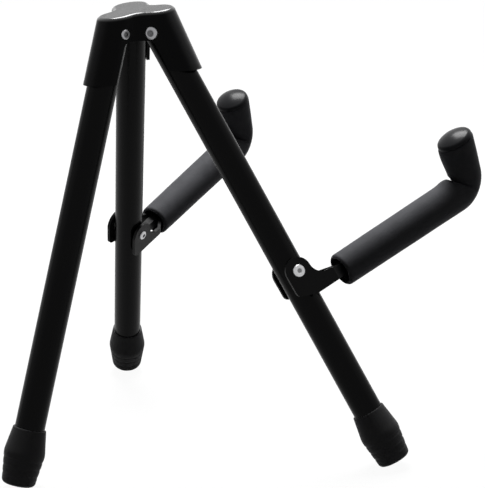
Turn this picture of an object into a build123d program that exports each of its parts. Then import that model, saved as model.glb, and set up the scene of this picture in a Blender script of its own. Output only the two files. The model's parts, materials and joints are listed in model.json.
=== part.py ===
from build123d import *
import os
from math import sin, cos, tan, radians, sqrt

os.makedirs("parts", exist_ok=True)

# Folding guitar stand: a three-lobed head, three round legs that fold inwards,
# and two padded cradle arms that fold up along the front legs.
# The front of the stand faces -Y and left is the -X side.

# Legs, in millimetres and degrees
TUBE_R = 9.5
TUBE_WALL = 1.2
PIVOT_R = 16.0           # from the head's axis to each leg pivot
PIVOT_Z = 276.5          # height of the pivots above the floor
FRONT_SPREAD = 58.5      # each front leg, turned from straight ahead
FRONT_TILT = 28.7        # front legs, from upright
REAR_TILT = 18.4         # rear leg, from upright
LEG_ROLL = 55.0          # how far a leg's top end is rolled inwards, round about its pivot
LEG_GAP = 0.3            # between a leg and the head round it

# Feet
FOOT_LENGTH = 36.4
FOOT_RIM_R = 10.5
FOOT_WIDE_R = 13.1
FOOT_WIDE_UP = 20.5      # height of the widest ring above the sole
FOOT_BASE_R = 10.8       # side at the top of the sole's edge
FOOT_EDGE = 3.0          # radius of the sole's edge
FOOT_ROUND = 12.0        # rounding of the widest ring
FOOT_LIP = 0.6           # rounding of the rim
FOOT_FLOOR = 6.0         # rubber under the end of the tube
FOOT_FLAT = 0.4          # the sole's edge is pressed flat by this on the floor
GROOVES = 3
GROOVE_START = 6.2       # lowest grip groove above the sole
GROOVE_PITCH = 4.9
GROOVE_DEPTH = 0.2
GROOVE_R = 3.0           # round bottom of a groove

# Head
SIDE_GAP = 0.5           # between a tube and the walls or plates beside it
HEAD_WALL = 2.0
HEAD_TOP = 13.0          # top face above the pivots, at the head's axis
TOP_SLOPE = 7.2          # top face falls towards the rear
HEAD_EDGE = 3.0          # rounding of the top edge
VALLEY_DROP = 5.0        # lower edge of the valleys, below the pivots
VALLEY_R = 7.0           # rounding in the valleys between the lobes
LIP_R = 5.0              # hollow curve of the walls' edge, under the valleys
LOBE_START = 6.0         # inner end of a lobe's level section at its lower end
WALL_LIP = 1.5           # how far the walls reach inwards past a leg's axis
REAR_LOBE_DROP = 30.5    # lower end of the rear lobe, below the pivots
FRONT_LOBE_DROP = 23.5
REAR_WEB = 2.0
FRONT_WEB = 3.2
FRONT_LOBE_TILT = 24.0

# Rivets and the bushes they clamp
RIVET_R = 2.5
RIVET_HEAD_R = 4.2
RIVET_HEAD_H = 1.8
RIVET_DIMPLE_R = 1.6
RIVET_DIMPLE = 0.3
RIVET_TAIL_R = 3.2
RIVET_TAIL_H = 1.3
RIVET_TAIL_ROLL = 1.35   # curve of the rolled tail
RIVET_BORE_R = 1.2       # hollow end of the shank
RIVET_BORE = 0.9
BUSH_R = 4.0
FIT = 0.05               # radial clearance of pins and bushes

# Cradle arms
ARM_DROP = 173.7         # from the leg pivot down to the arm rivet
ARM_TURN = 43.4          # arm turned from the leg's own plane towards the front
ARM_ANGLE = 88.2         # between the arm and the upper length of its leg
ROD_R = 4.0
ROD_DROP = 16.1          # rod below the arm rivet
ROD_FLAT = 5.0           # thickness of the rod's flattened end
ROD_STOP_GAP = 0.3       # between the rod's end and the leg it bears on
SLEEVE_R = 11.6
SLEEVE_START = 29.5      # foam's open end, from the arm rivet
SLEEVE_GAP = 0.2         # between the rod and what is pushed on it
SLEEVE_LIP = 2.0         # rounding of the foam's open end
MOUTH_DEPTH = 12.0
MOUTH_WALL = 2.6         # foam left round the mouth
MOUTH_GAP = 0.6          # between the rod's round part and the plates
CORNER = 137.7           # where rod and hook lines meet, from the arm rivet
HOOK_BEND = 82.5
HOOK_TWIST = 17.8        # hook turned outwards about the rod
BEND_R = 12.5
SLEEVE_HOOK = 33.2       # foam along the hook, from the corner
CAP_R = 12.1
CAP_LEAN = 16.0           # end cap turned towards the leg, from the hook's line
CAP_SKIRT = 0.5          # straight side of the cap
CAP_SHOULDER_R = 3.0
CAP_SHOULDER = 60.0      # turn of the cap's shoulder, below its flatter crown
CAP_SOCKET = 2.5         # depth of the rod in the cap

# Arm plates
PLATE = 2.0
PLATE_LOBE_R = 8.8
PLATE_TAIL = 5.2         # centre of the lower corner behind the leg, behind the rivet
PLATE_TAIL_DROP = 11.4
PLATE_TAIL_R = 3.8
PLATE_TOE = 4.5          # centre of the corner under the leg, ahead of the rivet
PLATE_TOE_R = 3.0
NECK_R = 9.1             # hollow curve between the round lobe and the neck, level with the rivet
OUTER_NECK = 9.4         # height of the outer plate's neck
INNER_NECK = 6.0
NECK_TIP = 7.0           # height at the rod
NECK_START = 21.0        # plates bend inwards from here
NECK_END = 32.0
NECK_BEND_R = 3.0

# Directions and places that follow from the sizes above
UP = Vector(0, 0, 1)
REAR_WAY = 90.0
LEFT_WAY = 270.0 - FRONT_SPREAD
RIGHT_WAY = 270.0 + FRONT_SPREAD
HALF_SLOT = TUBE_R + SIDE_GAP
HALF_HEAD = HALF_SLOT + HEAD_WALL
FOOT_SOLE_R = FOOT_BASE_R - FOOT_EDGE
NECK_FOOT = NECK_R + OUTER_NECK
TIP_TOP = NECK_FOOT - NECK_TIP


def outwards(way):
    return Vector(cos(radians(way)), sin(radians(way)), 0)


def leg_frame(way, tilt, head_y):
    """Origin at the pivot, Z up along the leg, X square to it and outwards."""
    out = outwards(way)
    along = UP * cos(radians(tilt)) - out * sin(radians(tilt))
    across = out * cos(radians(tilt)) + UP * sin(radians(tilt))
    pivot = out * PIVOT_R + Vector(0, head_y, PIVOT_Z)
    return Plane(origin=pivot, x_dir=across, z_dir=along)


def arm_frame(leg):
    """Origin at the arm rivet, X along the arm, Z outwards along the rivet."""
    turn = radians(ARM_TURN)
    forward = leg.x_dir * cos(turn) + leg.y_dir * sin(turn)
    rivet_way = leg.x_dir * sin(turn) - leg.y_dir * cos(turn)
    along = leg.z_dir * cos(radians(ARM_ANGLE)) + forward * sin(radians(ARM_ANGLE))
    return Plane(origin=leg.origin - leg.z_dir * ARM_DROP, x_dir=along, z_dir=rivet_way)


def hook_frame(arm):
    """Origin where rod and hook lines meet, X along the rod, Y towards the hook."""
    side = arm.y_dir * cos(radians(HOOK_TWIST)) + arm.z_dir * sin(radians(HOOK_TWIST))
    corner = arm.origin + arm.x_dir * CORNER - arm.y_dir * ROD_DROP
    return Plane(origin=corner, x_dir=arm.x_dir, z_dir=arm.x_dir.cross(side))


def leg_length(tilt):
    """From the pivot to the sole, so that the sole's edge presses on the floor."""
    rise = PIVOT_Z + FOOT_FLAT - FOOT_EDGE - FOOT_SOLE_R * sin(radians(tilt))
    return FOOT_EDGE + rise / cos(radians(tilt))


# The head stands so that the whole object is centred on the origin from front to back.
plain_hook = hook_frame(arm_frame(leg_frame(LEFT_WAY, FRONT_TILT, 0)))
bend_start = BEND_R * tan(radians(HOOK_BEND) / 2)
bend_centre = plain_hook.origin - plain_hook.x_dir * bend_start + plain_hook.y_dir * BEND_R
front_reach = SLEEVE_R - bend_centre.Y + BEND_R * sqrt(plain_hook.x_dir.Y**2 + plain_hook.y_dir.Y**2)
sole_centre = (leg_length(REAR_TILT) - FOOT_EDGE) * sin(radians(REAR_TILT))
rear_reach = PIVOT_R + sole_centre + FOOT_SOLE_R * cos(radians(REAR_TILT)) + FOOT_EDGE
HEAD_Y = (front_reach - rear_reach) / 2

rear = leg_frame(REAR_WAY, REAR_TILT, HEAD_Y)
left = leg_frame(LEFT_WAY, FRONT_TILT, HEAD_Y)
right = leg_frame(RIGHT_WAY, FRONT_TILT, HEAD_Y)
arm = arm_frame(left)
hook = hook_frame(arm)
LOBES = (
    (rear, REAR_WAY, REAR_TILT, REAR_TILT, REAR_LOBE_DROP, REAR_WEB),
    (left, LEFT_WAY, FRONT_TILT, FRONT_LOBE_TILT, FRONT_LOBE_DROP, FRONT_WEB),
    (right, RIGHT_WAY, FRONT_TILT, FRONT_LOBE_TILT, FRONT_LOBE_DROP, FRONT_WEB),
)


def lobe_plane(way, drop):
    """Level plane through the lower end of a lobe, X outwards."""
    return Plane(origin=(0, HEAD_Y, PIVOT_Z - drop), x_dir=outwards(way), z_dir=UP)


def slot_reach(tilt, drop):
    """From the head's axis to the face that stops a leg, at the lobe's lower end."""
    return PIVOT_R + drop * tan(radians(tilt)) + (TUBE_R + LEG_GAP) / cos(radians(tilt))


def side_plane(frame):
    """Sketch plane through a frame's Z axis, with that axis as its Y."""
    return Plane(origin=frame.origin, x_dir=frame.x_dir, z_dir=frame.y_dir * -1)


def make_leg(leg, tilt, pins):
    """Round tube, its top end rolled in round the pivot so that it can turn in the head."""
    bottom = -leg_length(tilt) + FOOT_FLOOR
    bore = TUBE_R - TUBE_WALL
    with BuildPart() as tube:
        with BuildSketch(side_plane(leg)):
            with BuildLine():
                outside = JernArc((TUBE_R, 0), (0, 1), TUBE_R, LEG_ROLL)
                inside = JernArc((bore, 0), (0, 1), bore, LEG_ROLL)
                Line(outside @ 1, inside @ 1)
                Polyline((TUBE_R, 0), (TUBE_R, bottom), (bore, bottom), (bore, 0))
            make_face()
        revolve(axis=Axis(leg.origin, leg.z_dir))
        for pin in pins:
            with BuildSketch(pin):
                Circle(BUSH_R + FIT)
            extrude(amount=2 * TUBE_R, both=True, mode=Mode.SUBTRACT)
    return tube.part


def make_foot(leg, tilt):
    """Rubber cap on the end of a leg, widest in the middle, flat where it meets the floor."""
    sole = -leg_length(tilt)
    rim = sole + FOOT_LENGTH
    seat = sole + FOOT_FLOOR
    base = (FOOT_BASE_R, sole + FOOT_EDGE)
    widest = (FOOT_WIDE_R, sole + FOOT_WIDE_UP)
    taper = (FOOT_WIDE_R - FOOT_BASE_R) / (FOOT_WIDE_UP - FOOT_EDGE)
    with BuildPart() as foot:
        with BuildSketch(side_plane(leg)) as section:
            with BuildLine():
                Polyline((TUBE_R, rim), (TUBE_R, seat), (0, seat), (0, sole), (FOOT_SOLE_R, sole))
                JernArc((FOOT_SOLE_R, sole), (1, 0), FOOT_EDGE, 90)
                FilletPolyline(base, widest, (FOOT_RIM_R, rim), radius=FOOT_ROUND)
                Line((FOOT_RIM_R, rim), (TUBE_R, rim))
            make_face()
            fillet(section.vertices().group_by(Axis.Y)[-1].sort_by(Axis.X)[-1], FOOT_LIP)
            for step in range(GROOVES):
                height = GROOVE_START + step * GROOVE_PITCH
                side = FOOT_BASE_R + taper * (height - FOOT_EDGE)
                with Locations((side + GROOVE_R - GROOVE_DEPTH, sole + height)):
                    Circle(GROOVE_R, mode=Mode.SUBTRACT)
        revolve(axis=Axis(leg.origin, leg.z_dir))
        split(bisect_by=Plane.XY, keep=Keep.TOP)
    return foot.part


def make_rivet(frame, half):
    """Semi-tubular rivet: domed head with a dimple, rolled hollow tail."""
    top = half + RIVET_HEAD_H
    tail = -half - RIVET_TAIL_H
    with BuildPart() as rivet:
        with BuildSketch(side_plane(frame)):
            with BuildLine():
                Polyline((0, top - RIVET_DIMPLE), (RIVET_BORE_R, top - RIVET_DIMPLE), (RIVET_DIMPLE_R, top))
                Line((RIVET_DIMPLE_R, top), (RIVET_HEAD_R - RIVET_HEAD_H, top))
                JernArc((RIVET_HEAD_R - RIVET_HEAD_H, top), (1, 0), RIVET_HEAD_H, -90)
                Polyline((RIVET_HEAD_R, half), (RIVET_R, half), (RIVET_R, -half), (RIVET_TAIL_R, -half))
                RadiusArc((RIVET_TAIL_R, -half), (RIVET_BORE_R, tail), RIVET_TAIL_ROLL)
                Polyline((RIVET_BORE_R, tail), (RIVET_BORE_R, tail + RIVET_BORE), (0, tail + RIVET_BORE))
                Line((0, tail + RIVET_BORE), (0, top - RIVET_DIMPLE))
            make_face()
        revolve(axis=Axis(frame.origin, frame.z_dir))
    return rivet.part


def make_bush(frame):
    """Sleeve round a rivet that keeps the walls or plates apart and the tube free."""
    with BuildPart() as bush:
        with BuildSketch(frame.offset(-HALF_SLOT)):
            Circle(BUSH_R)
            Circle(RIVET_R + FIT, mode=Mode.SUBTRACT)
        extrude(amount=2 * HALF_SLOT)
    return bush.part


def make_plate(side, height):
    """Pressed arm plate: round at the rivet, a corner behind the leg, bent in to the rod."""
    face = arm.offset(side * HALF_SLOT)
    neck = Plane(origin=arm.origin - arm.y_dir * NECK_R, x_dir=arm.x_dir, z_dir=arm.y_dir * -1)
    wide = side * (HALF_SLOT + PLATE / 2)
    narrow = side * (ROD_FLAT + PLATE) / 2
    foot = NECK_R + height
    hollow = PLATE_LOBE_R + NECK_R
    tip = SLEEVE_START + MOUTH_DEPTH - MOUTH_GAP
    with BuildPart() as plate:
        with BuildSketch(face):
            Circle(PLATE_LOBE_R)
            with Locations((-PLATE_TAIL, -PLATE_TAIL_DROP)):
                Circle(PLATE_TAIL_R)
            with Locations((PLATE_TOE, PLATE_TOE_R - foot)):
                Circle(PLATE_TOE_R)
            make_hull()
            with Locations((NECK_START / 2, -foot / 2)):
                Rectangle(NECK_START, foot)
            with Locations((hollow, 0)):
                Circle(NECK_R, mode=Mode.SUBTRACT)
            with Locations(((hollow + NECK_START) / 2, -NECK_R / 2)):
                Rectangle(NECK_START - hollow, NECK_R, mode=Mode.SUBTRACT)
            Circle(RIVET_R + FIT, mode=Mode.SUBTRACT)
        extrude(amount=side * PLATE)
        with BuildSketch(neck):
            with BuildLine():
                FilletPolyline(
                    (NECK_START - NECK_BEND_R, wide),
                    (NECK_START, wide),
                    (NECK_END, narrow),
                    (tip, narrow),
                    radius=NECK_BEND_R,
                )
            trace(line_width=PLATE)
        extrude(amount=height)
        with BuildSketch(arm):
            with BuildLine():
                Polyline(
                    (hollow, -NECK_R),
                    (SLEEVE_START, -TIP_TOP),
                    (tip + PLATE, -TIP_TOP),
                    (tip + PLATE, -NECK_R),
                    close=True,
                )
            make_face()
        extrude(amount=2 * HALF_HEAD, both=True, mode=Mode.SUBTRACT)
    return plate.part


# Head: three leaning lobes joined under one rounded top, hollow from below
slope = radians(TOP_SLOPE)
head_top = Plane(origin=(0, HEAD_Y, PIVOT_Z + HEAD_TOP), z_dir=(0, sin(slope), cos(slope)))
with BuildPart() as head:
    for leg, way, tilt, lobe_tilt, drop, web in LOBES:
        lean = UP * cos(radians(lobe_tilt)) - outwards(way) * sin(radians(lobe_tilt))
        reach = slot_reach(tilt, drop) + web / cos(radians(lobe_tilt)) - HALF_HEAD
        with BuildSketch(lobe_plane(way, drop)):
            with Locations((reach, 0)):
                Circle(HALF_HEAD)
            with Locations(((reach + LOBE_START) / 2, 0)):
                Rectangle(reach - LOBE_START, 2 * HALF_HEAD)
        extrude(amount=(drop + 2 * HEAD_TOP) / cos(radians(lobe_tilt)), dir=lean)
    for leg, way, tilt, lobe_tilt, drop, web in LOBES:
        radial = Plane(origin=(0, HEAD_Y, PIVOT_Z), x_dir=outwards(way), z_dir=outwards(way).cross(UP))
        lip = PIVOT_R - WALL_LIP / cos(radians(tilt))
        valley = (lip + VALLEY_DROP * tan(radians(tilt)), -VALLEY_DROP)
        foot_of_lip = (lip + 2 * drop * tan(radians(tilt)), -2 * drop)
        with BuildSketch(radial):
            with BuildLine():
                FilletPolyline((-HALF_HEAD, -VALLEY_DROP), valley, foot_of_lip, radius=LIP_R)
                Polyline(foot_of_lip, (-HALF_HEAD, -2 * drop), (-HALF_HEAD, -VALLEY_DROP))
            make_face()
        extrude(amount=HALF_HEAD, both=True, mode=Mode.SUBTRACT)
    split(bisect_by=head_top, keep=Keep.BOTTOM)
    fillet(head.edges().filter_by(Axis.Z).sort_by(Axis.Z)[-3:], VALLEY_R)
    fillet(head.faces().sort_by(Axis.Z)[-1].edges(), HEAD_EDGE)
    for leg, way, tilt, lobe_tilt, drop, web in LOBES:
        lean = UP * cos(radians(lobe_tilt)) - outwards(way) * sin(radians(lobe_tilt))
        reach = slot_reach(tilt, drop) - HALF_SLOT
        with BuildSketch(lobe_plane(way, drop)):
            with Locations((reach, 0)):
                Circle(HALF_SLOT)
            with Locations(((reach + LOBE_START) / 2, 0)):
                Rectangle(reach - LOBE_START, 2 * HALF_SLOT)
        ceiling = drop + TUBE_R + LEG_GAP
        extrude(amount=ceiling / cos(radians(lobe_tilt)), dir=lean, mode=Mode.SUBTRACT)
        with BuildSketch(side_plane(leg)):
            Circle(BUSH_R + FIT)
        extrude(amount=HALF_SLOT, both=True, mode=Mode.SUBTRACT)
        with BuildSketch(side_plane(leg)):
            Circle(RIVET_R + FIT)
        extrude(amount=2 * HALF_HEAD, both=True, mode=Mode.SUBTRACT)
head.part.label = "head"
export_step(head.part, "parts/head.step")

# Legs and feet: the right front ones mirror the left
rear_leg = make_leg(rear, REAR_TILT, [side_plane(rear)])
rear_leg.label = "rear_leg"
export_step(rear_leg, "parts/rear_leg.step")

left_leg = make_leg(left, FRONT_TILT, [side_plane(left), arm])
left_leg.label = "left_leg"
export_step(left_leg, "parts/left_leg.step")

with BuildPart() as right_leg:
    mirror(left_leg, about=Plane.YZ)
right_leg.part.label = "right_leg"
export_step(right_leg.part, "parts/right_leg.step")

rear_foot = make_foot(rear, REAR_TILT)
rear_foot.label = "rear_foot"
export_step(rear_foot, "parts/rear_foot.step")

left_foot = make_foot(left, FRONT_TILT)
left_foot.label = "left_foot"
export_step(left_foot, "parts/left_foot.step")

with BuildPart() as right_foot:
    mirror(left_foot, about=Plane.YZ)
right_foot.part.label = "right_foot"
export_step(right_foot.part, "parts/right_foot.step")

# Leg pivots: one rivet and one bush through each lobe and its leg
with BuildPart() as pivot_rivets:
    for leg in (rear, left, right):
        add(make_rivet(side_plane(leg), HALF_HEAD))
pivot_rivets.part.label = "pivot_rivets"
export_step(pivot_rivets.part, "parts/pivot_rivets.step")

with BuildPart() as pivot_bushes:
    for leg in (rear, left, right):
        add(make_bush(side_plane(leg)))
pivot_bushes.part.label = "pivot_bushes"
export_step(pivot_bushes.part, "parts/pivot_bushes.step")

# Left cradle arm
left_outer_plate = make_plate(1, OUTER_NECK)
left_outer_plate.label = "left_outer_plate"
export_step(left_outer_plate, "parts/left_outer_plate.step")

left_inner_plate = make_plate(-1, INNER_NECK)
left_inner_plate.label = "left_inner_plate"
export_step(left_inner_plate, "parts/left_inner_plate.step")

left_arm_rivet = make_rivet(arm, HALF_SLOT + PLATE)
left_arm_rivet.label = "left_arm_rivet"
export_step(left_arm_rivet, "parts/left_arm_rivet.step")

left_arm_bush = make_bush(arm)
left_arm_bush.label = "left_arm_bush"
export_step(left_arm_bush, "parts/left_arm_bush.step")

hook_way = hook.x_dir * cos(radians(HOOK_BEND)) + hook.y_dir * sin(radians(HOOK_BEND))


def hook_path(start, end):
    """From this far along the arm, round the bend, to this far up the hook."""
    tip = (end * cos(radians(HOOK_BEND)), end * sin(radians(HOOK_BEND)))
    with BuildLine(hook) as path:
        FilletPolyline((start - CORNER, 0), (0, 0), tip, radius=BEND_R)
    return path.line


with BuildPart() as left_rod:
    round_start = SLEEVE_START + MOUTH_DEPTH
    leg_front = TUBE_R / sin(radians(ARM_ANGLE)) - TIP_TOP / tan(radians(ARM_ANGLE))
    flat_start = leg_front + ROD_STOP_GAP
    with BuildSketch(arm.offset(-ROD_FLAT / 2)):
        with Locations(((flat_start + round_start) / 2, NECK_TIP / 2 - NECK_FOOT)):
            Rectangle(round_start - flat_start, NECK_TIP)
    extrude(amount=ROD_FLAT)
    rod_path = hook_path(round_start, SLEEVE_HOOK + CAP_SOCKET)
    with BuildSketch(Plane(origin=rod_path @ 0, z_dir=rod_path % 0)):
        Circle(ROD_R)
    sweep(path=rod_path)
left_rod.part.label = "left_rod"
export_step(left_rod.part, "parts/left_rod.step")

cap_way = hook_way.rotate(Axis((0, 0, 0), hook.z_dir), CAP_LEAN)
cap_frame = Plane(origin=hook.origin + hook_way * SLEEVE_HOOK, x_dir=hook.z_dir, z_dir=cap_way)

with BuildPart() as left_sleeve:
    sleeve_path = hook_path(SLEEVE_START, SLEEVE_HOOK + SLEEVE_R)
    open_end = Plane(origin=sleeve_path @ 0, z_dir=sleeve_path % 0)
    with BuildSketch(open_end):
        Circle(SLEEVE_R)
        Circle(ROD_R + SLEEVE_GAP, mode=Mode.SUBTRACT)
    sweep(path=sleeve_path)
    split(bisect_by=cap_frame, keep=Keep.BOTTOM)
    with BuildSketch(open_end):
        Circle(SLEEVE_R - MOUTH_WALL)
    extrude(amount=MOUTH_DEPTH, mode=Mode.SUBTRACT)
    rim = left_sleeve.edges().filter_by(GeomType.CIRCLE).sort_by_distance(open_end.origin)
    fillet([edge for edge in rim if abs(edge.radius - SLEEVE_R) < FIT][:1], SLEEVE_LIP)
left_sleeve.part.label = "left_sleeve"
export_step(left_sleeve.part, "parts/left_sleeve.step")

with BuildPart() as left_cap:
    with BuildSketch(side_plane(cap_frame)):
        with BuildLine():
            Polyline((0, 0), (CAP_R, 0), (CAP_R, CAP_SKIRT))
            shoulder = JernArc((CAP_R, CAP_SKIRT), (0, 1), CAP_SHOULDER_R, CAP_SHOULDER)
            crown_r = (shoulder @ 1).X / cos(radians(CAP_SHOULDER))
            crown = JernArc(shoulder @ 1, shoulder % 1, crown_r, 90 - CAP_SHOULDER)
            Line(crown @ 1, (0, 0))
        make_face()
    revolve(axis=Axis(cap_frame.origin, cap_frame.z_dir))
    with BuildSketch(Plane(origin=cap_frame.origin, z_dir=hook_way)):
        Circle(ROD_R + SLEEVE_GAP)
    extrude(amount=CAP_SOCKET, both=True, mode=Mode.SUBTRACT)
left_cap.part.label = "left_cap"
export_step(left_cap.part, "parts/left_cap.step")

# Right cradle arm: the left one's mirror image
with BuildPart() as right_outer_plate:
    mirror(left_outer_plate, about=Plane.YZ)
right_outer_plate.part.label = "right_outer_plate"
export_step(right_outer_plate.part, "parts/right_outer_plate.step")

with BuildPart() as right_inner_plate:
    mirror(left_inner_plate, about=Plane.YZ)
right_inner_plate.part.label = "right_inner_plate"
export_step(right_inner_plate.part, "parts/right_inner_plate.step")

with BuildPart() as right_arm_rivet:
    mirror(left_arm_rivet, about=Plane.YZ)
right_arm_rivet.part.label = "right_arm_rivet"
export_step(right_arm_rivet.part, "parts/right_arm_rivet.step")

with BuildPart() as right_arm_bush:
    mirror(left_arm_bush, about=Plane.YZ)
right_arm_bush.part.label = "right_arm_bush"
export_step(right_arm_bush.part, "parts/right_arm_bush.step")

with BuildPart() as right_rod:
    mirror(left_rod.part, about=Plane.YZ)
right_rod.part.label = "right_rod"
export_step(right_rod.part, "parts/right_rod.step")

with BuildPart() as right_sleeve:
    mirror(left_sleeve.part, about=Plane.YZ)
right_sleeve.part.label = "right_sleeve"
export_step(right_sleeve.part, "parts/right_sleeve.step")

with BuildPart() as right_cap:
    mirror(left_cap.part, about=Plane.YZ)
right_cap.part.label = "right_cap"
export_step(right_cap.part, "parts/right_cap.step")
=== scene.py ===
import json
from math import acos, cos, pi, radians, sin, tan

import bmesh
import bpy
import numpy as np
from bpy.props import FloatProperty, FloatVectorProperty, IntProperty, PointerProperty
from mathutils import Matrix, Vector


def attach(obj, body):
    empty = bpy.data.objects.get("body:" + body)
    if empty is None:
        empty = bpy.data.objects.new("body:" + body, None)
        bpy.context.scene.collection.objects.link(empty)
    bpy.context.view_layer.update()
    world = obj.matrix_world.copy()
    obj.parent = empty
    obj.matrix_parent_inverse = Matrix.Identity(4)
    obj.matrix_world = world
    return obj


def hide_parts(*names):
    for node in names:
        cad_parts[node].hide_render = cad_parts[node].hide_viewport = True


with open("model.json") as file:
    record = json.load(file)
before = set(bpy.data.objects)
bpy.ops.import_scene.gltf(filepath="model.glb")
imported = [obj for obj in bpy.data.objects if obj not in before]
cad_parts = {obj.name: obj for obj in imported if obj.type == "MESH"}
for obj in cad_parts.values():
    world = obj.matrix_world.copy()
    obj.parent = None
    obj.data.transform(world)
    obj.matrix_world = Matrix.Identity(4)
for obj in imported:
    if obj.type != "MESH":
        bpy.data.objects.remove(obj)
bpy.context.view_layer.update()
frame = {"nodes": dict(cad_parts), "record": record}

bl_info = {
    "name": "Folding guitar stand",
    "version": (1, 0, 0),
    "blender": (4, 5, 0),
    "location": "3D View > Sidebar > Guitar stand",
    "description": "Finishes a folding guitar stand and makes its foam sleeves",
    "category": "Object",
}

JOINTS = {joint["name"]: joint for joint in frame["record"]["behaviour"]["joints"]}
SIDES = (("left", 1), ("right", -1))

UP = Vector((0, 0, 1))
MERGE_DISTANCE = 1e-6

# Foam sleeves: points along a bend and along a quarter circle of their section.
BEND_STEPS = 24
CORNER_STEPS = 6

# Foam sleeves: how far the skin faces into the bend, from -1 to 1, where a form begins and is full.
FOLD_FACING = (-0.2, 0.7)
SLIT_FACING = (-0.6, 0.1)

# Foam sleeves: widths and places along the sleeve, in halves of the bend from its middle.
FOLD_WIDTH = 0.5
SLIT_WIDTH = 0.13
SWELL_WIDTH = 0.45
SWELL_PLACE = -1.25
PINCH_BEGINS = -0.2
PINCH_FULL = 0.4
PINCH_FADES = 0.6

# Foam sleeves: shares of the arm's radius where the wall begins to count as skin and fully does.
SKIN_BEGINS = 0.8
SKIN_FULL = 0.95

# Foam sleeves: waves of the uneven skin, read this far from the sleeve's middle line.
RIPPLE_SCALE = 45.0
RIPPLE_DETAIL = 3.0
RIPPLE_REACH = 0.01

# Painted sheen on upward edges: height of the surface's direction, from 0 on walls to 1 on level
# tops.
EDGE_BEGINS = 0.25
EDGE_FULL = 0.75
TOP_BEGINS = 0.93
TOP_FULL = 0.985
TOP_DULLING = 0.6

# Finishes: mirror light, beside 0.5 for plain plastic.
HEAD_SPECULAR = 0.04
TUBE_SPECULAR = 0.055
PLATE_SPECULAR = 0.07
FOOT_SPECULAR = 0.05
FOAM_SPECULAR = 0.03
CAP_SPECULAR = 0.05

# Finishes: weight and roughness of the painted sheen, a coat on upward edges. The head has all of
# it.
HEAD_SHEEN_ROUGHNESS = 0.22
FOOT_SHEEN = 0.15
FOOT_SHEEN_ROUGHNESS = 0.30
CAP_SHEEN = 0.22
CAP_SHEEN_ROUGHNESS = 0.24

# Head: relief of the flow marks beside 1 for the grain, and what smudges do to the gloss.
FLOW_RELIEF = 2.0
SMUDGE_DULLING = 0.06
SMUDGE_SHEEN_LOSS = 0.3

# Tubes: patterns drawn out along the tube, relief of its lines, and dulling by scuffs.
DRAW_LINE_STRETCH = (1.0, 1.0, 0.02)
DRAW_LINE_RELIEF = 0.4
SCUFF_STRETCH = (1.0, 1.0, 0.2)
SCUFF_DULLING = 0.18

# Plates: distances from the rivet's axis up to which paint is rubbed, and how it is polished.
RUB_FADES = 0.0055
RUB_ENDS = 0.0068
RUB_WANDER = 0.0015
RUB_POLISH = 0.08

# Feet: heights up to which they are dusty, and how dust dulls them.
DUST_FADES = 0.006
DUST_ENDS = 0.022
DUST_WANDER = 0.012
DUST_TINT = 3.0
DUST_DULLING = 0.15

# Foam: pores per metre, and their relief beside 1 for the grain.
PORE_SCALE = 1500.0
PORE_RELIEF = 0.6

# Rivets: radians of ring pattern per metre, radii of the dimples in their heads, and the grime
# and painted shade there, with its ends as shares of those radii.
RING_RATE = 9000.0
PIVOT_DIMPLE = 0.0024
ARM_DIMPLE = 0.0016
GRIME_AND_SHADE_FADES = 0.75
GRIME_AND_SHADE_ENDS = 1.1
GRIME_AND_SHADE_TINT = 0.18
GRIME_DULLING = 0.25

# Lamps: name, place, aim, size and the stage setting that holds the power.
LAMPS = (
    ("top_lamp", (0.34, -0.34, 1.20), (-0.03, -0.03, 0.15), 0.6, "top_light"),
    ("left_lamp", (-1.10, -0.80, 0.75), (0, 0, 0.15), 0.8, "side_light"),
    ("right_lamp", (0.50, 1.30, 0.70), (0, 0, 0.15), 0.8, "side_light"),
)

# Floor: a clear sheet on white, with a matt film that takes the shadow.
FLOOR_RADIUS = 9.0
FLOOR_SEGMENTS = 96
FLOOR_BOUNCE = 0.06
FLOOR_FILM = 0.10
FLOOR_CLEAR = 0.95
FLOOR_FADE_START = 0.25
FLOOR_FADE_END = 0.7

CAMERA_CLIP = 0.01


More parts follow.
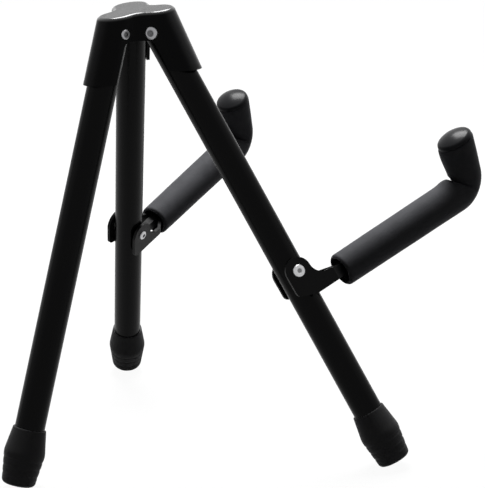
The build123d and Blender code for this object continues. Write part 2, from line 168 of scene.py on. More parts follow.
class FoamSettings(bpy.types.PropertyGroup):
    """Sizes of the foam sleeves, given for the left arm."""

    open_end: FloatVectorProperty(
        name="Open end", description="Middle of the sleeve's mouth",
        subtype="TRANSLATION", precision=5, default=(-0.09650, -0.04606, 0.12130))
    corner: FloatVectorProperty(
        name="Corner", description="Where the lines of arm and hook meet",
        subtype="TRANSLATION", precision=5, default=(-0.11506, -0.14458, 0.16202))
    capped_end: FloatVectorProperty(
        name="Capped end", description="Where the foam meets the end cap",
        subtype="TRANSLATION", precision=5, default=(-0.11178, -0.13670, 0.19410))
    bend_radius: FloatProperty(
        name="Bend radius", description="Radius of the hook's bend",
        unit="LENGTH", default=0.0125)
    arm_radius: FloatProperty(
        name="Arm radius", description="Outside of the foam at its open end",
        unit="LENGTH", default=0.0110)
    bend_foam: FloatProperty(
        name="Bend foam", description="Outside of the foam in the bend",
        unit="LENGTH", default=0.0117)
    hook_radius: FloatProperty(
        name="Hook radius", description="Outside of the foam on the hook",
        unit="LENGTH", default=0.0123)
    lean: FloatProperty(
        name="Lean", description="Turn of the capped end towards the leg",
        subtype="ANGLE", default=radians(16.0))
    bore: FloatProperty(
        name="Bore", description="Radius of the hole for the rod",
        unit="LENGTH", default=0.0042)
    mouth_radius: FloatProperty(
        name="Mouth radius", description="Radius of the wider hole at the open end",
        unit="LENGTH", default=0.0090)
    mouth_depth: FloatProperty(
        name="Mouth depth", description="Depth of the wider hole",
        unit="LENGTH", default=0.012)
    lip: FloatProperty(
        name="Lip", description="Rounding of the open end",
        unit="LENGTH", default=0.0020)
    edge: FloatProperty(
        name="Edge", description="Rounding of the end at the cap",
        unit="LENGTH", default=0.0018)
    crease: FloatProperty(
        name="Crease", description="Depth of the fold inside the bend",
        unit="LENGTH", default=0.0022)
    slit: FloatProperty(
        name="Slit", description="Depth of the sharp line along the fold",
        unit="LENGTH", default=0.0018)
    swell: FloatProperty(
        name="Swell", description="Height of the foam pushed up before the fold",
        unit="LENGTH", default=0.0007)
    pinch: FloatProperty(
        name="Pinch", description="Depth to which the hook narrows towards the fold",
        unit="LENGTH", default=0.0018)
    pinch_length: FloatProperty(
        name="Pinch length", description="Length over which the hook narrows",
        unit="LENGTH", default=0.020)
    ripple: FloatProperty(
        name="Ripple", description="Unevenness of the skin",
        unit="LENGTH", default=0.00025)
    rings: IntProperty(
        name="Rings", description="Points round the section of the foam's wall", default=640)
    around: IntProperty(
        name="Around", description="Points round the sleeve", default=72)


class FinishSettings(bpy.types.PropertyGroup):
    """Colours of the stand's finishes."""

    head: FloatVectorProperty(
        name="Head", description="Glossy moulded plastic",
        subtype="COLOR", default=(0.0022, 0.0023, 0.0030))
    tube: FloatVectorProperty(
        name="Tube", description="Glossy paint of the legs",
        subtype="COLOR", default=(0.0016, 0.0016, 0.0018))
    plate: FloatVectorProperty(
        name="Plate", description="Satin paint of plates and rods",
        subtype="COLOR", default=(0.0024, 0.0024, 0.0026))
    foot: FloatVectorProperty(
        name="Foot", description="Rubber of the feet",
        subtype="COLOR", default=(0.064, 0.064, 0.066))
    foam: FloatVectorProperty(
        name="Foam", description="Foam of the sleeves",
        subtype="COLOR", default=(0.100, 0.101, 0.109))
    cap: FloatVectorProperty(
        name="Cap", description="Rubber of the end caps",
        subtype="COLOR", default=(0.012, 0.0123, 0.0140))
    steel: FloatVectorProperty(
        name="Steel", description="Bare steel of the arm rivets",
        subtype="COLOR", default=(0.50, 0.50, 0.51))
    pivot: FloatVectorProperty(
        name="Pivot", description="Dulled steel of the pivot rivets",
        subtype="COLOR", default=(0.30, 0.30, 0.31))
    bush: FloatVectorProperty(
        name="Bush", description="Nylon of the bushes",
        subtype="COLOR", default=(0.03, 0.03, 0.03))


class StageSettings(bpy.types.PropertyGroup):
    """Camera and light."""

    camera_place: FloatVectorProperty(
        name="Camera", description="Place of the camera",
        subtype="TRANSLATION", precision=4, default=(-0.8896, 0.71274, 0.4273))
    aim: FloatVectorProperty(
        name="Aim", description="Point in the middle of the picture",
        subtype="TRANSLATION", precision=4, default=(-0.0988, 0.03743, 0.15542))
    roll: FloatProperty(
        name="Roll", description="Turn of the camera about its own line of sight",
        subtype="ANGLE", default=radians(1.69))
    focal_pixels: FloatProperty(
        name="Focal length", description="Focal length in pixels of the picture", default=1780.76)
    picture_width: FloatProperty(
        name="Picture width", description="Width of the picture in pixels", default=485.0)
    top_light: FloatProperty(
        name="Top light", description="Power of the lamp overhead, behind the stand", default=18.0)
    side_light: FloatProperty(
        name="Side light", description="Power of the lamps at the sides", default=0.4)
    surroundings: FloatProperty(
        name="Surroundings", description="Brightness of the room round the stand", default=0.02)


class Value:
    """A node's output whose arithmetic adds Math nodes to its tree."""

    def __init__(self, graph, socket):
        self.graph = graph
        self.socket = socket

    def __add__(self, other):
        return self.graph.math("ADD", self, other)

    def __sub__(self, other):
        return self.graph.math("SUBTRACT", self, other)

    def __rsub__(self, other):
        return self.graph.math("SUBTRACT", other, self)

    def __mul__(self, other):
        return self.graph.math("MULTIPLY", self, other)

    def __truediv__(self, other):
        return self.graph.math("DIVIDE", self, other)

    def __pow__(self, other):
        return self.graph.math("POWER", self, other)

    def between(self, low, high):
        """0 below low, 1 above high, and smooth from one to the other."""
        sockets = {"Value": self, "From Min": low, "From Max": high}
        return self.graph.add(
            "ShaderNodeMapRange", sockets, interpolation_type="SMOOTHSTEP")["Result"]

    def spread(self, low, high):
        """A value from 0 to 1 taken to the range from low to high."""
        return self * (high - low) + low


class Outputs:
    """The outputs of one node, by name, identifier or number."""

    def __init__(self, graph, node):
        self.graph = graph
        self.node = node

    def __getitem__(self, key):
        return Value(self.graph, find_socket(self.node.outputs, key))


def find_socket(sockets, key):
    if isinstance(key, int):
        return sockets[key]
    for socket in sockets:
        if socket.identifier == key:
            return socket
    return sockets[key]


class Graph:
    """Adds nodes to a tree and joins them."""

    def __init__(self, tree):
        self.tree = tree

    def add(self, kind, sockets=None, **settings):
        """One node, its settings set first and its sockets then given values or links."""
        node = self.tree.nodes.new(kind)
        for name, value in settings.items():
            setattr(node, name, value)
        for key, value in (sockets or {}).items():
            self.plug(find_socket(node.inputs, key), value)
        return Outputs(self, node)

    def plug(self, socket, value):
        if isinstance(value, Value):
            self.tree.links.new(value.socket, socket)
        else:
            socket.default_value = value

    def math(self, operation, *terms):
        return self.add("ShaderNodeMath", dict(enumerate(terms)), operation=operation)[0]

    def vector(self, operation, *terms):
        result = self.add("ShaderNodeVectorMath", dict(enumerate(terms)), operation=operation)
        return result["Value" if operation in ("DOT_PRODUCT", "LENGTH") else "Vector"]

    def scaled(self, vector, factor):
        sockets = {"Vector": vector, "Scale": factor}
        return self.add("ShaderNodeVectorMath", sockets, operation="SCALE")["Vector"]

    def parts(self, vector):
        """The X, Y and Z of a vector."""
        return self.add("ShaderNodeSeparateXYZ", {"Vector": vector})

    def noise(self, place, scale, detail=2.0, roughness=0.5):
        sockets = {"Vector": place, "Scale": scale, "Detail": detail, "Roughness": roughness}
        return self.add("ShaderNodeTexNoise", sockets)["Fac"]

    def mix(self, factor, low, high):
        """Colour from low at 0 to high at 1."""
        sockets = {"Factor_Float": factor, "A_Color": low, "B_Color": high}
        return self.add("ShaderNodeMix", sockets, data_type="RGBA")["Result_Color"]

    def shades(self, factor, colour, low, high):
        """One colour made low times as bright at 0, and high times as bright at 1."""
        return self.mix(factor, tint(colour, low), tint(colour, high))

    def either(self, factor, first, second):
        """The first shader at 0, the second at 1."""
        return self.add("ShaderNodeMixShader", {0: factor, 1: first, 2: second})["Shader"]


def fresh_graph(block):
    """Gives a material or world an empty node tree."""
    block.use_nodes = True
    block.node_tree.nodes.clear()
    return Graph(block.node_tree)


def tint(colour, factor):
    """A colour made lighter or darker, as four numbers."""
    return (*(min(1.0, channel * factor) for channel in colour), 1.0)


def grey(level):
    return (level, level, level, 1.0)


def add_object(name, data):
    """A new object in the scene."""
    thing = bpy.data.objects.new(name, data)
    bpy.context.collection.objects.link(thing)
    return thing


class Finish:
    """A new material, with the place on the piece and the surface's direction for its patterns."""

    def __init__(self, name):
        self.material = bpy.data.materials.new(name)
        self.graph = fresh_graph(self.material)
        self.shader = self.graph.add("ShaderNodeBsdfPrincipled")
        self.graph.add("ShaderNodeOutputMaterial", {"Surface": self.shader["BSDF"]})
        coordinates = self.graph.add("ShaderNodeTexCoord")
        self.place = coordinates["Object"]
        self.facing = coordinates["Normal"]

    def noise(self, scale, detail=2.0, roughness=0.5):
        return self.graph.noise(self.place, scale, detail, roughness)

    def set(self, **sockets):
        for name, value in sockets.items():
            self.graph.plug(self.shader.node.inputs[name.replace("_", " ")], value)

    def bump(self, height, depth):
        """Surface relief: height from 0 to 1, depth in metres."""
        sockets = {"Height": height, "Strength": 1.0, "Distance": depth}
        self.set(Normal=self.graph.add("ShaderNodeBump", sockets)["Normal"])

    def off_axis(self, joint):
        """Distance of a point on the piece from a joint's axis."""
        arm = self.graph.vector("SUBTRACT", self.place, tuple(JOINTS[joint]["pos_m"]))
        across = self.graph.vector("CROSS_PRODUCT", arm, tuple(JOINTS[joint]["axis"]))
        return self.graph.vector("LENGTH", across)

    def upward(self):
        """Painted sheen: 0 on walls, 1 on edges rounded upwards, less on flat tops."""
        height = self.graph.parts(self.facing)["Z"]
        flat = height.between(TOP_BEGINS, TOP_FULL)
        return height.between(EDGE_BEGINS, EDGE_FULL) * (1 - flat * TOP_DULLING)


def long_axis(node):
    """Direction in which a CAD node is longest."""
    mesh = frame["nodes"][node].data
    points = np.empty(len(mesh.vertices) * 3)
    mesh.vertices.foreach_get("co", points)
    points = points.reshape(-1, 3)
    spans = np.linalg.svd(points - points.mean(axis=0), full_matrices=False)[2]
    return Vector(spans[0])


def paint(node, material):
    """Gives a CAD node this material alone."""
    slots = frame["nodes"][node].data.materials
    slots.clear()
    slots.append(material)


def head_plastic(colour):
    """Glossy moulded plastic with faint flow marks and smudges, and painted sheen on upward edges.
    """
    finish = Finish("head_plastic")
    flow = finish.noise(scale=55.0, detail=4.0, roughness=0.6)
    grain = finish.noise(scale=2600.0)
    smudge = finish.noise(scale=140.0, detail=5.0, roughness=0.7).between(0.52, 0.74)
    finish.set(
        Base_Color=finish.graph.shades(flow.between(0.3, 0.7), colour, low=0.85, high=1.25),
        Roughness=flow.spread(0.12, 0.20) + smudge * SMUDGE_DULLING,
        Specular_IOR_Level=HEAD_SPECULAR,
        # Coat weight from upward() is painted sheen on upward edges, less where smudged.
        Coat_Weight=finish.upward() * (1 - smudge * SMUDGE_SHEEN_LOSS),
        Coat_Roughness=HEAD_SHEEN_ROUGHNESS)
    finish.bump(grain + flow * FLOW_RELIEF, depth=0.00006)
    return finish.material


def tube_paint(colour, node):
    """Glossy paint on a drawn tube: orange peel, faint draw lines and small scuffs."""
    finish = Finish(node + "_paint")
    graph = finish.graph
    turn = long_axis(node).rotation_difference(UP).to_euler()
    lengthwise = graph.add(
        "ShaderNodeMapping", {"Vector": finish.place, "Rotation": tuple(turn)},
        vector_type="POINT")["Vector"]
    drawn = graph.vector("MULTIPLY", lengthwise, DRAW_LINE_STRETCH)
    lines = graph.noise(drawn, scale=900.0, detail=3.0, roughness=0.6)
    peel = finish.noise(scale=700.0)
    rubbed = graph.vector("MULTIPLY", lengthwise, SCUFF_STRETCH)
    scuffs = graph.noise(rubbed, scale=260.0, detail=6.0, roughness=0.7).between(0.62, 0.78)
    finish.set(
        Base_Color=graph.shades(scuffs, colour, low=1.0, high=2.2),
        Roughness=lines.spread(0.20, 0.30) + scuffs * SCUFF_DULLING,
        Specular_IOR_Level=TUBE_SPECULAR)
    finish.bump(peel + lines * DRAW_LINE_RELIEF, depth=0.00004)
    return finish.material


def plate_paint(colour, name, joint):
    """Satin paint on pressed plate, rubbed a little round its rivet."""
    finish = Finish(name)
    grain = finish.noise(scale=1500.0, detail=3.0)
    cloud = finish.noise(scale=180.0, detail=4.0, roughness=0.6)
    away = finish.off_axis(joint) + cloud * RUB_WANDER
    rubbed = 1 - away.between(RUB_FADES, RUB_ENDS)
    wear = rubbed * cloud.between(0.35, 0.65)
    finish.set(
        Base_Color=finish.graph.shades(wear, colour, low=1.0, high=2.6),
        Roughness=cloud.spread(0.34, 0.46) - wear * RUB_POLISH,
        Specular_IOR_Level=PLATE_SPECULAR)
    finish.bump(grain, depth=0.00005)
    return finish.material


def foot_rubber(colour):
    """Matt rubber with a fine grain, dusty and scuffed towards the floor, with painted sheen on
    upward edges.
    """
    finish = Finish("foot_rubber")
    graph = finish.graph
    height = graph.parts(finish.place)["Z"]
    grain = finish.noise(scale=1300.0, detail=3.0)
    cloud = finish.noise(scale=120.0, detail=5.0, roughness=0.65)
    low_down = 1 - (height + cloud * DUST_WANDER).between(DUST_FADES, DUST_ENDS)
    dusty = low_down * cloud.between(0.35, 0.7)
    clean = graph.shades(cloud, colour, low=0.8, high=1.25)
    finish.set(
        Base_Color=graph.mix(dusty, clean, tint(colour, DUST_TINT)),
        Roughness=cloud.spread(0.50, 0.62) + dusty * DUST_DULLING,
        Specular_IOR_Level=FOOT_SPECULAR,
        # Coat weight from upward() is painted sheen on the rim's upward edges.
        Coat_Weight=finish.upward() * FOOT_SHEEN,
        Coat_Roughness=FOOT_SHEEN_ROUGHNESS)
    finish.bump(grain, depth=0.00012)
    return finish.material


def foam_skin(colour):
    """Closed-cell foam with a soft skin: tiny pores and a dull sheen."""
    finish = Finish("foam_skin")
    graph = finish.graph
    pores = graph.add(
        "ShaderNodeTexVoronoi", {"Vector": finish.place, "Scale": PORE_SCALE},
        feature="F1")["Distance"]
    cloud = finish.noise(scale=90.0, detail=4.0, roughness=0.6)
    grain = finish.noise(scale=600.0, detail=4.0, roughness=0.6)
    finish.set(
        Base_Color=graph.shades(cloud.between(0.3, 0.7), colour, low=0.94, high=1.14),
        Roughness=cloud.spread(0.48, 0.60),
        Specular_IOR_Level=FOAM_SPECULAR)
    finish.bump(pores * PORE_RELIEF + grain, depth=0.00012)
    return finish.material


def cap_rubber(colour):
    """Moulded rubber with a satin skin, and painted sheen on its upward faces."""
    finish = Finish("cap_rubber")
    grain = finish.noise(scale=1800.0)
    cloud = finish.noise(scale=160.0, detail=4.0, roughness=0.6)
    finish.set(
        Base_Color=finish.graph.shades(cloud, colour, low=0.85, high=1.3),
        Roughness=cloud.spread(0.30, 0.40),
        Specular_IOR_Level=CAP_SPECULAR,
        # Coat weight from upward() is painted sheen on the cap's upward faces.
        Coat_Weight=finish.upward() * CAP_SHEEN,
        Coat_Roughness=CAP_SHEEN_ROUGHNESS)
    finish.bump(grain, depth=0.00006)
    return finish.material


def rivet_steel(colour, name, joints, dimple):
    """Turned steel: rings round the rivet, darker in the dimple of its head from grime and painted
    shade.
    """
    finish = Finish(name)
    graph = finish.graph
    radius = finish.off_axis(joints[0])
    for joint in joints[1:]:
        radius = graph.math("MINIMUM", radius, finish.off_axis(joint))
    rings = graph.math("SINE", radius * RING_RATE) * 0.5 + 0.5
    blotch = finish.noise(scale=700.0, detail=4.0, roughness=0.6)
    # Darker in the dimple: grime, and painted shade where the recess is shaded.
    in_dimple = 1 - radius.between(dimple * GRIME_AND_SHADE_FADES, dimple * GRIME_AND_SHADE_ENDS)
    grime_and_shade = in_dimple * blotch.spread(0.6, 1.0)
    clean = graph.shades(blotch, colour, low=0.8, high=1.1)
    finish.set(
        Base_Color=graph.mix(grime_and_shade, clean, tint(colour, GRIME_AND_SHADE_TINT)),
        Metallic=1.0,
        Roughness=rings.spread(0.24, 0.34) + grime_and_shade * GRIME_DULLING)
    finish.bump(rings + blotch, depth=0.00002)
    return finish.material


def bush_nylon(colour):
    """Dull moulded nylon."""
    finish = Finish("bush_nylon")
    cloud = finish.noise(scale=400.0, detail=3.0)
    finish.set(
        Base_Color=finish.graph.shades(cloud, colour, low=0.8, high=1.2),
        Roughness=cloud.spread(0.5, 0.65))
    finish.bump(cloud, depth=0.00003)
    return finish.material


def make_curve(name, points, closed):
    """A curve of straight runs through these points."""
    data = bpy.data.curves.new(name, "CURVE")
    data.dimensions = "3D"
    spline = data.splines.new("POLY")
    spline.points.add(len(points) - 1)
    for place, point in zip(spline.points, points):
        place.co = (*point, 1.0)
    spline.use_cyclic_u = closed
    return add_object(name, data)


def arc(centre, start, turn, axis, steps):
    """Points round an arc that starts at start and turns about axis through centre."""
    spoke = start - centre
    turns = [turn * step / steps for step in range(steps + 1)]
    return [centre + Matrix.Rotation(angle, 3, axis) @ spoke for angle in turns]


def sleeve_line(foam, side):
    """The sleeve's middle line, the places along it of the bend's ends and of its own end,
    the way the hook bends, and the way its end leans."""
    flip = Vector((side, 1, 1))
    start = Vector(foam.open_end) * flip
    corner = Vector(foam.corner) * flip
    end = Vector(foam.capped_end) * flip
    run = (corner - start).normalized()
    hook = (end - corner).normalized()
    bend = acos(run.dot(hook))
    cut = foam.bend_radius * tan(bend / 2)
    axis = run.cross(hook).normalized()
    bend_start = corner - run * cut
    centre = bend_start + axis.cross(run) * foam.bend_radius
    points = [start, *arc(centre, bend_start, bend, axis, BEND_STEPS), end]
    first = (bend_start - start).length
    around = foam.bend_radius * bend
    last = (end - corner).length - cut
    stations = (first, first + around, first + around + last)
    return points, stations, (hook - run).normalized(), axis.cross(hook) * tan(foam.lean)


def rounded(along, radius, size, start):
    """A quarter circle of this size in the sleeve's section, turning clockwise from start."""
    angles = [start - step * pi / 2 / CORNER_STEPS for step in range(CORNER_STEPS + 1)]
    return [(along + size * cos(angle), radius + size * sin(angle)) for angle in angles]


def sleeve_profile(foam, stations):
    """Closed section of the foam's wall: distance along the sleeve, then radius."""
    bend_start, bend_end, length = stations
    section = [
        *rounded(foam.lip, foam.arm_radius - foam.lip, foam.lip, pi),
        (bend_start, foam.bend_foam),
        ((bend_start + bend_end) / 2, foam.bend_foam),
        (bend_end, (foam.bend_foam + foam.hook_radius) / 2),
        ((bend_end + length) / 2, foam.hook_radius),
        *rounded(length - foam.edge, foam.hook_radius - foam.edge, foam.edge, pi / 2),
        (length, foam.bore),
        (foam.mouth_depth, foam.bore),
        (foam.mouth_depth, foam.mouth_radius),
        (foam.edge, foam.mouth_radius),
        (0, foam.mouth_radius + foam.edge / 2),
    ]
    return [(along, radius, 0) for along, radius in section]


SLEEVE_INPUTS = (
    ("Line", "NodeSocketObject"),
    ("Section", "NodeSocketObject"),
    ("Rings", "NodeSocketInt"),
    ("Around", "NodeSocketInt"),
    ("Bend start", "NodeSocketFloat"),
    ("Bend end", "NodeSocketFloat"),
    ("Length", "NodeSocketFloat"),
    ("Bend side", "NodeSocketVector"),
    ("Lean", "NodeSocketVector"),
    ("Skin", "NodeSocketFloat"),
    ("Crease", "NodeSocketFloat"),
    ("Slit", "NodeSocketFloat"),
    ("Swell", "NodeSocketFloat"),
    ("Pinch", "NodeSocketFloat"),
    ("Pinch length", "NodeSocketFloat"),
    ("Ripple", "NodeSocketFloat"),
    ("Material", "NodeSocketMaterial"),
)


def hill(distance, width):
    """1 at no distance, falling away on both sides like a bell."""
    return distance.graph.math("EXPONENT", (distance / width) ** 2.0 * -1.0)


def sleeve_tree():
    """Geometry nodes that carry a section round and along a line, with a fold inside its bend."""
    tree = bpy.data.node_groups.new("foam_sleeve", "GeometryNodeTree")
    for name, kind in SLEEVE_INPUTS:
        tree.interface.new_socket(name=name, in_out="INPUT", socket_type=kind)
    tree.interface.new_socket(
        name="Geometry", in_out="OUTPUT", socket_type="NodeSocketGeometry")
    graph = Graph(tree)
    given = graph.add("NodeGroupInput")
    grid = graph.add("GeometryNodeMeshGrid", {
        "Size X": 1.0, "Size Y": 1.0,
        "Vertices X": given["Rings"], "Vertices Y": given["Around"]})
    place = graph.parts(graph.add("GeometryNodeInputPosition")["Position"])
    section = graph.add("GeometryNodeObjectInfo", {"Object": given["Section"]})
    line = graph.add("GeometryNodeObjectInfo", {"Object": given["Line"]})
    on_section = graph.add(
        "GeometryNodeSampleCurve", {"Curves": section["Geometry"], "Factor": place["X"] + 0.5},
        mode="FACTOR", use_all_curves=True)
    wall = graph.parts(on_section["Position"])
    along = wall["X"]
    radius = wall["Y"]
    spine = graph.add(
        "GeometryNodeSampleCurve", {"Curves": line["Geometry"], "Length": along},
        mode="LENGTH", use_all_curves=True)

    angle = (place["Y"] + 0.5) * (2 * pi)
    sideways = graph.vector("CROSS_PRODUCT", spine["Tangent"], spine["Normal"])
    outward = graph.vector(
        "ADD",
        graph.scaled(spine["Normal"], graph.math("COSINE", angle)),
        graph.scaled(sideways, graph.math("SINE", angle)))
    skin = radius.between(given["Skin"] * SKIN_BEGINS, given["Skin"] * SKIN_FULL)
    facing = graph.vector("DOT_PRODUCT", outward, given["Bend side"])
    inside = facing.between(*FOLD_FACING) * skin

    half = (given["Bend end"] - given["Bend start"]) / 2
    off = along - given["Bend start"] - half
    fold = hill(off, half * FOLD_WIDTH) * inside * given["Crease"]
    slit = hill(off, half * SLIT_WIDTH) * facing.between(*SLIT_FACING) * skin * given["Slit"]
    pushed = hill(off - half * SWELL_PLACE, half * SWELL_WIDTH) * inside * given["Swell"]
    fading = off.between(half * PINCH_FADES, half + given["Pinch length"])
    on_hook = off.between(half * PINCH_BEGINS, half * PINCH_FULL) * (1 - fading)
    pinched = on_hook * inside * given["Pinch"]
    near_skin = graph.vector("ADD", spine["Position"], graph.scaled(outward, RIPPLE_REACH))
    uneven = graph.noise(near_skin, RIPPLE_SCALE, RIPPLE_DETAIL) - 0.5
    reach = radius - fold - slit - pinched + pushed + uneven * given["Ripple"] * skin

    leaning = along.between(given["Bend end"], given["Length"])
    shift = graph.vector("DOT_PRODUCT", outward, given["Lean"]) * reach * leaning * -1.0
    offset = graph.vector(
        "ADD", graph.scaled(outward, reach), graph.scaled(spine["Tangent"], shift))
    moved = graph.add("GeometryNodeSetPosition", {
        "Geometry": grid["Mesh"], "Position": graph.vector("ADD", spine["Position"], offset)})
    merged = graph.add("GeometryNodeMergeByDistance", {
        "Geometry": moved["Geometry"], "Distance": MERGE_DISTANCE})
    smooth = graph.add("GeometryNodeSetShadeSmooth", {"Geometry": merged["Geometry"]})
    real = graph.add("GeometryNodeRealizeInstances", {"Geometry": smooth["Geometry"]})
    skinned = graph.add("GeometryNodeSetMaterial", {
        "Geometry": real["Geometry"], "Material": given["Material"]})
    graph.add("NodeGroupOutput", {"Geometry": skinned["Geometry"]})
    return tree


def bake_nodes(name, tree, inputs):
    """Runs a tree on an empty mesh and keeps the result as a plain mesh."""
    maker = add_object(name + "_maker", bpy.data.meshes.new(name + "_maker"))
    modifier = maker.modifiers.new(name, "NODES")
    modifier.node_group = tree
    for item in tree.interface.items_tree:
        if item.in_out == "INPUT":
            modifier[item.identifier] = inputs[item.name]
    shaped = maker.evaluated_get(bpy.context.evaluated_depsgraph_get())
    mesh = bpy.data.meshes.new_from_object(shaped)
    mesh.name = name
    bpy.data.objects.remove(maker)
    if not mesh.polygons:
        raise RuntimeError(name + " came out empty")
    return mesh


def face_outwards(mesh):
    """Merges doubles and turns every face of a closed mesh outwards."""
    shell = bmesh.new()
    shell.from_mesh(mesh)
    bmesh.ops.remove_doubles(shell, verts=shell.verts, dist=MERGE_DISTANCE)
    bmesh.ops.recalc_face_normals(shell, faces=shell.faces)
    if shell.calc_volume(signed=True) < 0:
        bmesh.ops.reverse_faces(shell, faces=shell.faces)
    shell.to_mesh(mesh)
    shell.free()


class STAND_OT_head(bpy.types.Operator):
    """Finishes the moulded head"""

    bl_idname = "stand.head"
    bl_label = "Head"

    def execute(self, context):
        paint("head", head_plastic(context.scene.stand_finish.head))
        return {"FINISHED"}


class STAND_OT_legs(bpy.types.Operator):
    """Paints the three leg tubes"""

    bl_idname = "stand.legs"
    bl_label = "Legs"

    def execute(self, context):
        for node in ("rear_leg", "left_leg", "right_leg"):
            paint(node, tube_paint(context.scene.stand_finish.tube, node))
        return {"FINISHED"}


class STAND_OT_feet(bpy.types.Operator):
    """Finishes the rubber feet"""

    bl_idname = "stand.feet"
    bl_label = "Feet"

    def execute(self, context):
        rubber = foot_rubber(context.scene.stand_finish.foot)
        for node in ("rear_foot", "left_foot", "right_foot"):
            paint(node, rubber)
        return {"FINISHED"}


class STAND_OT_rivets(bpy.types.Operator):
    """Finishes the rivets and the bushes round them"""

    bl_idname = "stand.rivets"
    bl_label = "Rivets and bushes"

    def execute(self, context):
        colours = context.scene.stand_finish
        pivots = ("rear_leg_fold", "left_leg_fold", "right_leg_fold")
        dulled = rivet_steel(colours.pivot, "pivot_rivet_steel", pivots, PIVOT_DIMPLE)
        paint("pivot_rivets", dulled)
        nylon = bush_nylon(colours.bush)
        paint("pivot_bushes", nylon)
        for side, _ in SIDES:
            joints = (side + "_arm_fold",)
            bare = rivet_steel(colours.steel, side + "_rivet_steel", joints, ARM_DIMPLE)
            paint(side + "_arm_rivet", bare)
            paint(side + "_arm_bush", nylon)
        return {"FINISHED"}


class STAND_OT_plates(bpy.types.Operator):
    """Paints the arm plates and rods"""

    bl_idname = "stand.plates"
    bl_label = "Plates and rods"

    def execute(self, context):
        colour = context.scene.stand_finish.plate
        for side, _ in SIDES:
            satin = plate_paint(colour, side + "_plate_paint", side + "_arm_fold")
            for piece in ("_outer_plate", "_inner_plate", "_rod"):
                paint(side + piece, satin)
        return {"FINISHED"}


class STAND_OT_sleeves(bpy.types.Operator):
    """Makes the foam sleeves of the cradle arms"""

    bl_idname = "stand.sleeves"
    bl_label = "Foam sleeves"

    def execute(self, context):
        foam = context.scene.stand_foam
        skin = foam_skin(context.scene.stand_finish.foam)
        tree = sleeve_tree()
        for name, side in SIDES:
            points, stations, bend_side, lean = sleeve_line(foam, side)
            line = make_curve(name + "_line", points, False)
            section = make_curve(name + "_section", sleeve_profile(foam, stations), True)
            mesh = bake_nodes(name + "_foam", tree, {
                "Line": line, "Section": section,
                "Rings": foam.rings, "Around": foam.around,
                "Bend start": stations[0], "Bend end": stations[1], "Length": stations[2],
                "Bend side": bend_side, "Lean": lean, "Skin": foam.arm_radius,
                "Crease": foam.crease, "Slit": foam.slit, "Swell": foam.swell,
                "Pinch": foam.pinch, "Pinch length": foam.pinch_length,
                "Ripple": foam.ripple, "Material": skin})
            bpy.data.objects.remove(line)
            bpy.data.objects.remove(section)
            face_outwards(mesh)
            sleeve = add_object(name + "_foam", mesh)
            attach(sleeve, name + "_arm")
            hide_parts(name + "_sleeve")
        return {"FINISHED"}


class STAND_OT_caps(bpy.types.Operator):
    """Finishes the rubber end caps"""

    bl_idname = "stand.caps"
    bl_label = "End caps"

    def execute(self, context):
        rubber = cap_rubber(context.scene.stand_finish.cap)
        for side, _ in SIDES:
            paint(side + "_cap", rubber)
        return {"FINISHED"}


def seen_directly(graph):
    """1 for what the camera, a reflection or glass sees, 0 for light on other surfaces."""
    path = graph.add("ShaderNodeLightPath")
    seen = graph.math("MAXIMUM", path["Is Camera Ray"], path["Is Glossy Ray"])
    return graph.math("MAXIMUM", seen, path["Is Transmission Ray"])


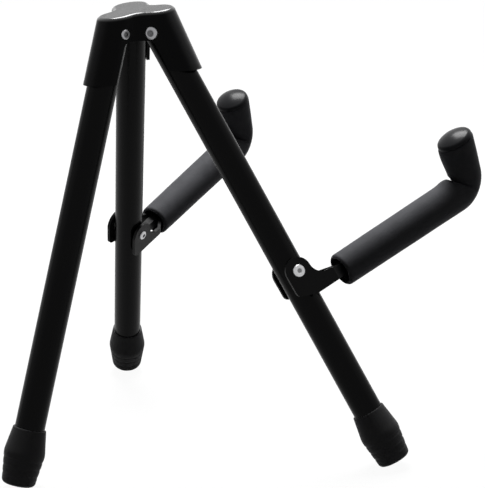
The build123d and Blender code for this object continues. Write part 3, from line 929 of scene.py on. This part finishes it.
class STAND_OT_stage(bpy.types.Operator):
    """Sets the floor, the light and the camera"""

    bl_idname = "stand.stage"
    bl_label = "Stage"

    def execute(self, context):
        stage = context.scene.stand_stage
        context.scene.view_settings.view_transform = "Standard"
        self.add_world(context, stage)
        self.add_floor()
        for name, place, aim, size, power in LAMPS:
            self.add_lamp(name, place, aim, size, getattr(stage, power))
        self.add_camera(context, stage)
        return {"FINISHED"}

    def add_world(self, context, stage):
        """White to look at, and a dim room for the light that falls on the stand."""
        world = bpy.data.worlds.new("studio")
        context.scene.world = world
        graph = fresh_graph(world)
        dim = grey(stage.surroundings)
        room = graph.add("ShaderNodeBackground", {"Color": dim})["Background"]
        white = graph.add("ShaderNodeBackground", {"Color": grey(1.0)})["Background"]
        both = graph.either(seen_directly(graph), room, white)
        graph.add("ShaderNodeOutputWorld", {"Surface": both})

    def add_floor(self):
        """A clear sheet under the feet, so that a leg folded below it is still seen."""
        mesh = bpy.data.meshes.new("floor")
        shape = bmesh.new()
        bmesh.ops.create_circle(
            shape, cap_ends=True, segments=FLOOR_SEGMENTS, radius=FLOOR_RADIUS)
        shape.to_mesh(mesh)
        shape.free()
        floor = add_object("floor", mesh)
        material = bpy.data.materials.new("floor_white")
        graph = fresh_graph(material)
        matt = graph.add("ShaderNodeBsdfDiffuse", {"Color": grey(FLOOR_BOUNCE)})["BSDF"]
        film = graph.add("ShaderNodeBsdfDiffuse", {"Color": grey(FLOOR_FILM)})["BSDF"]
        distance = graph.vector("LENGTH", graph.add("ShaderNodeTexCoord")["Object"])
        away = distance.between(FLOOR_FADE_START, FLOOR_FADE_END)
        pale = graph.mix(away, grey(FLOOR_CLEAR), grey(1.0))
        clear = graph.add("ShaderNodeBsdfTransparent", {"Color": pale})["BSDF"]
        bright = graph.add("ShaderNodeAddShader", {0: film, 1: clear})["Shader"]
        both = graph.either(seen_directly(graph), matt, bright)
        graph.add("ShaderNodeOutputMaterial", {"Surface": both})
        mesh.materials.append(material)

    def add_lamp(self, name, place, aim, size, power):
        lamp = bpy.data.lights.new(name, "AREA")
        lamp.size = size
        lamp.energy = power
        holder = add_object(name, lamp)
        holder.location = place
        ahead = Vector(aim) - Vector(place)
        holder.rotation_euler = ahead.to_track_quat("-Z", "Y").to_euler()

    def add_camera(self, context, stage):
        camera = bpy.data.cameras.new("camera")
        camera.sensor_fit = "HORIZONTAL"
        camera.lens = stage.focal_pixels / stage.picture_width * camera.sensor_width
        camera.clip_start = CAMERA_CLIP
        holder = add_object("camera", camera)
        ahead = (Vector(stage.aim) - Vector(stage.camera_place)).normalized()
        level = ahead.cross(UP).normalized()
        down = ahead.cross(level)
        right = level * cos(stage.roll) + down * sin(stage.roll)
        turn = Matrix((right, right.cross(ahead), ahead * -1)).transposed()
        holder.matrix_world = Matrix.Translation(stage.camera_place) @ turn.to_4x4()
        context.scene.camera = holder


OPERATORS = (
    STAND_OT_head, STAND_OT_legs, STAND_OT_feet, STAND_OT_rivets, STAND_OT_plates,
    STAND_OT_sleeves, STAND_OT_caps, STAND_OT_stage)


class STAND_PT_panel(bpy.types.Panel):
    """Lists the stand's settings and the operators that make it"""

    bl_idname = "STAND_PT_panel"
    bl_label = "Guitar stand"
    bl_space_type = "VIEW_3D"
    bl_region_type = "UI"
    bl_category = "Guitar stand"

    def draw(self, context):
        scene = context.scene
        for group in (scene.stand_foam, scene.stand_finish, scene.stand_stage):
            box = self.layout.box()
            for name in type(group).__annotations__:
                box.prop(group, name)
        for operator in OPERATORS:
            self.layout.operator(operator.bl_idname)


CLASSES = (FoamSettings, FinishSettings, StageSettings, *OPERATORS, STAND_PT_panel)


def register():
    for kind in CLASSES:
        bpy.utils.register_class(kind)
    bpy.types.Scene.stand_foam = PointerProperty(type=FoamSettings)
    bpy.types.Scene.stand_finish = PointerProperty(type=FinishSettings)
    bpy.types.Scene.stand_stage = PointerProperty(type=StageSettings)


def unregister():
    del bpy.types.Scene.stand_stage
    del bpy.types.Scene.stand_finish
    del bpy.types.Scene.stand_foam
    for kind in reversed(CLASSES):
        bpy.utils.unregister_class(kind)


def main():
    register()
    bpy.ops.stand.head()
    bpy.ops.stand.legs()
    bpy.ops.stand.feet()
    bpy.ops.stand.rivets()
    bpy.ops.stand.plates()
    bpy.ops.stand.sleeves()
    bpy.ops.stand.caps()
    bpy.ops.stand.stage()


if __name__ == "__main__":
    main()
